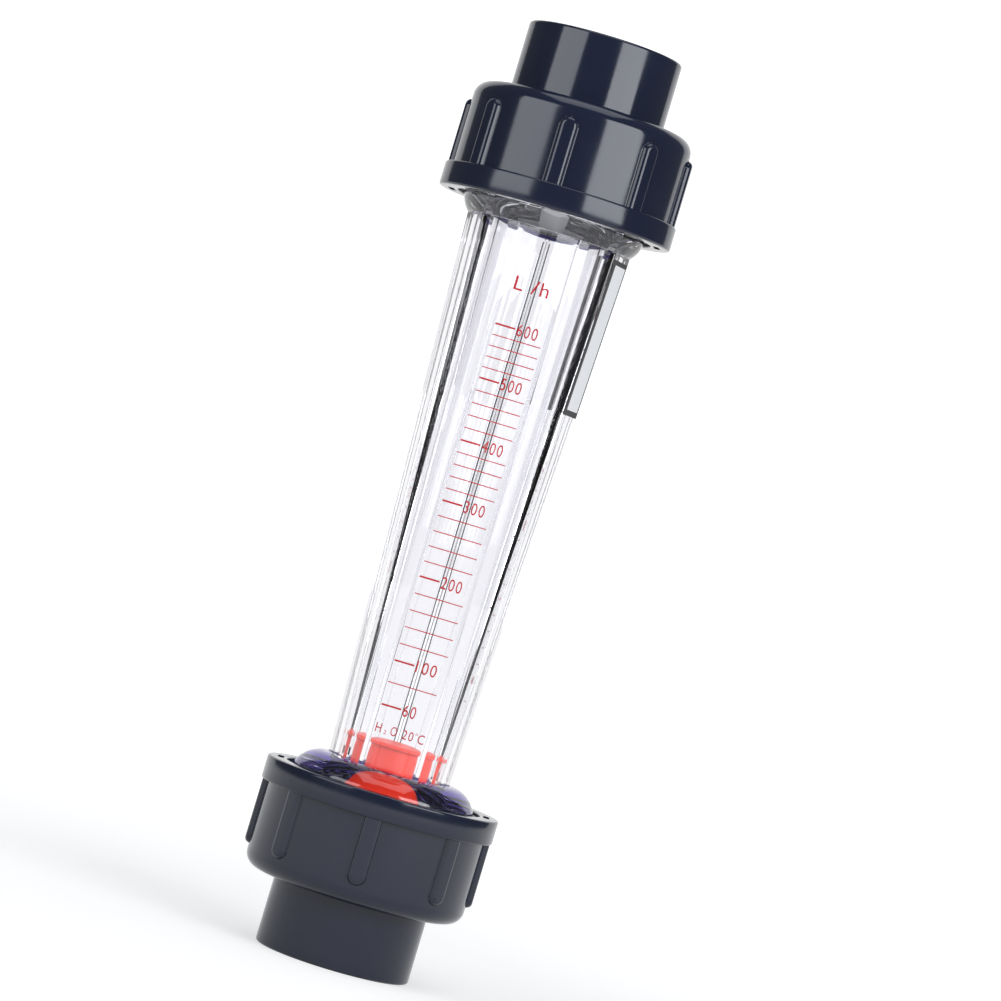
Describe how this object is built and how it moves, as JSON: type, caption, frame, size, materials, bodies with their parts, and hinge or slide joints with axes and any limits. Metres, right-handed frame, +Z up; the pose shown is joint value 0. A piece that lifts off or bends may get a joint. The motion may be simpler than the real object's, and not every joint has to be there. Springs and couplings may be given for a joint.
{
  "type": "rotameter",
  "caption": "Standing plastic-tube rotameter with a tapered clear tube, a red float, a printed scale and a union nut with a glue socket at each end.",
  "frame": {"origin": "on the tube's axis, at the lower pipe end's face", "axes": "+Z up along the tube, in the direction of flow; the scale faces -Y"},
  "size_m": [0.05, 0.05, 0.1992],
  "materials": {
    "clear_plastic": "clear, polished",
    "dark_plastic": "semi-gloss",
    "red_plastic": "semi-gloss",
    "steel": "turned",
    "white_plastic": "matte",
    "seal_rubber": "matte",
    "label_film": "satin film",
    "red_ink": "printed"
  },
  "bodies": {
    "tube": {"measuring_tube": "clear_plastic", "lower_float_seat": "white_plastic", "upper_float_stop": "white_plastic", "side_label": "label_film", "scale_marks": "red_ink"},
    "float": {"float_body": "red_plastic", "float_weight": "steel"},
    "lower_coupling": {"lower_connector": "dark_plastic", "lower_seal_ring": "seal_rubber"},
    "lower_nut": {"lower_union_nut": "dark_plastic"},
    "upper_coupling": {"upper_connector": "dark_plastic", "upper_seal_ring": "seal_rubber"},
    "upper_nut": {"upper_union_nut": "dark_plastic"}
  },
  "joints": [
    {"name": "float_rise", "type": "slide", "parent": "tube", "child": "float", "axis": [0, 0, 1], "range_m": [0, 0.115]},
    {"name": "lower_coupling_turn", "type": "hinge", "parent": "tube", "child": "lower_coupling", "pos_m": [0, 0, 0.0187], "axis": [0, 0, -1], "range_deg": [0, 1980]},
    {"name": "lower_nut_unscrew", "type": "slide", "parent": "lower_coupling", "child": "lower_nut", "axis": [0, 0, -1], "range_m": [0, 0.0127]},
    {"name": "upper_coupling_turn", "type": "hinge", "parent": "tube", "child": "upper_coupling", "pos_m": [0, 0, 0.1805], "axis": [0, 0, 1], "range_deg": [0, 1980]},
    {"name": "upper_nut_unscrew", "type": "slide", "parent": "upper_coupling", "child": "upper_nut", "axis": [0, 0, 1], "range_m": [0, 0.0127]}
  ],
  "couplings": [
    {"joint": "lower_nut_unscrew", "follows": "lower_coupling_turn", "m_per_rad": 0.00036749},
    {"joint": "upper_nut_unscrew", "follows": "upper_coupling_turn", "m_per_rad": 0.00036749}
  ]
}
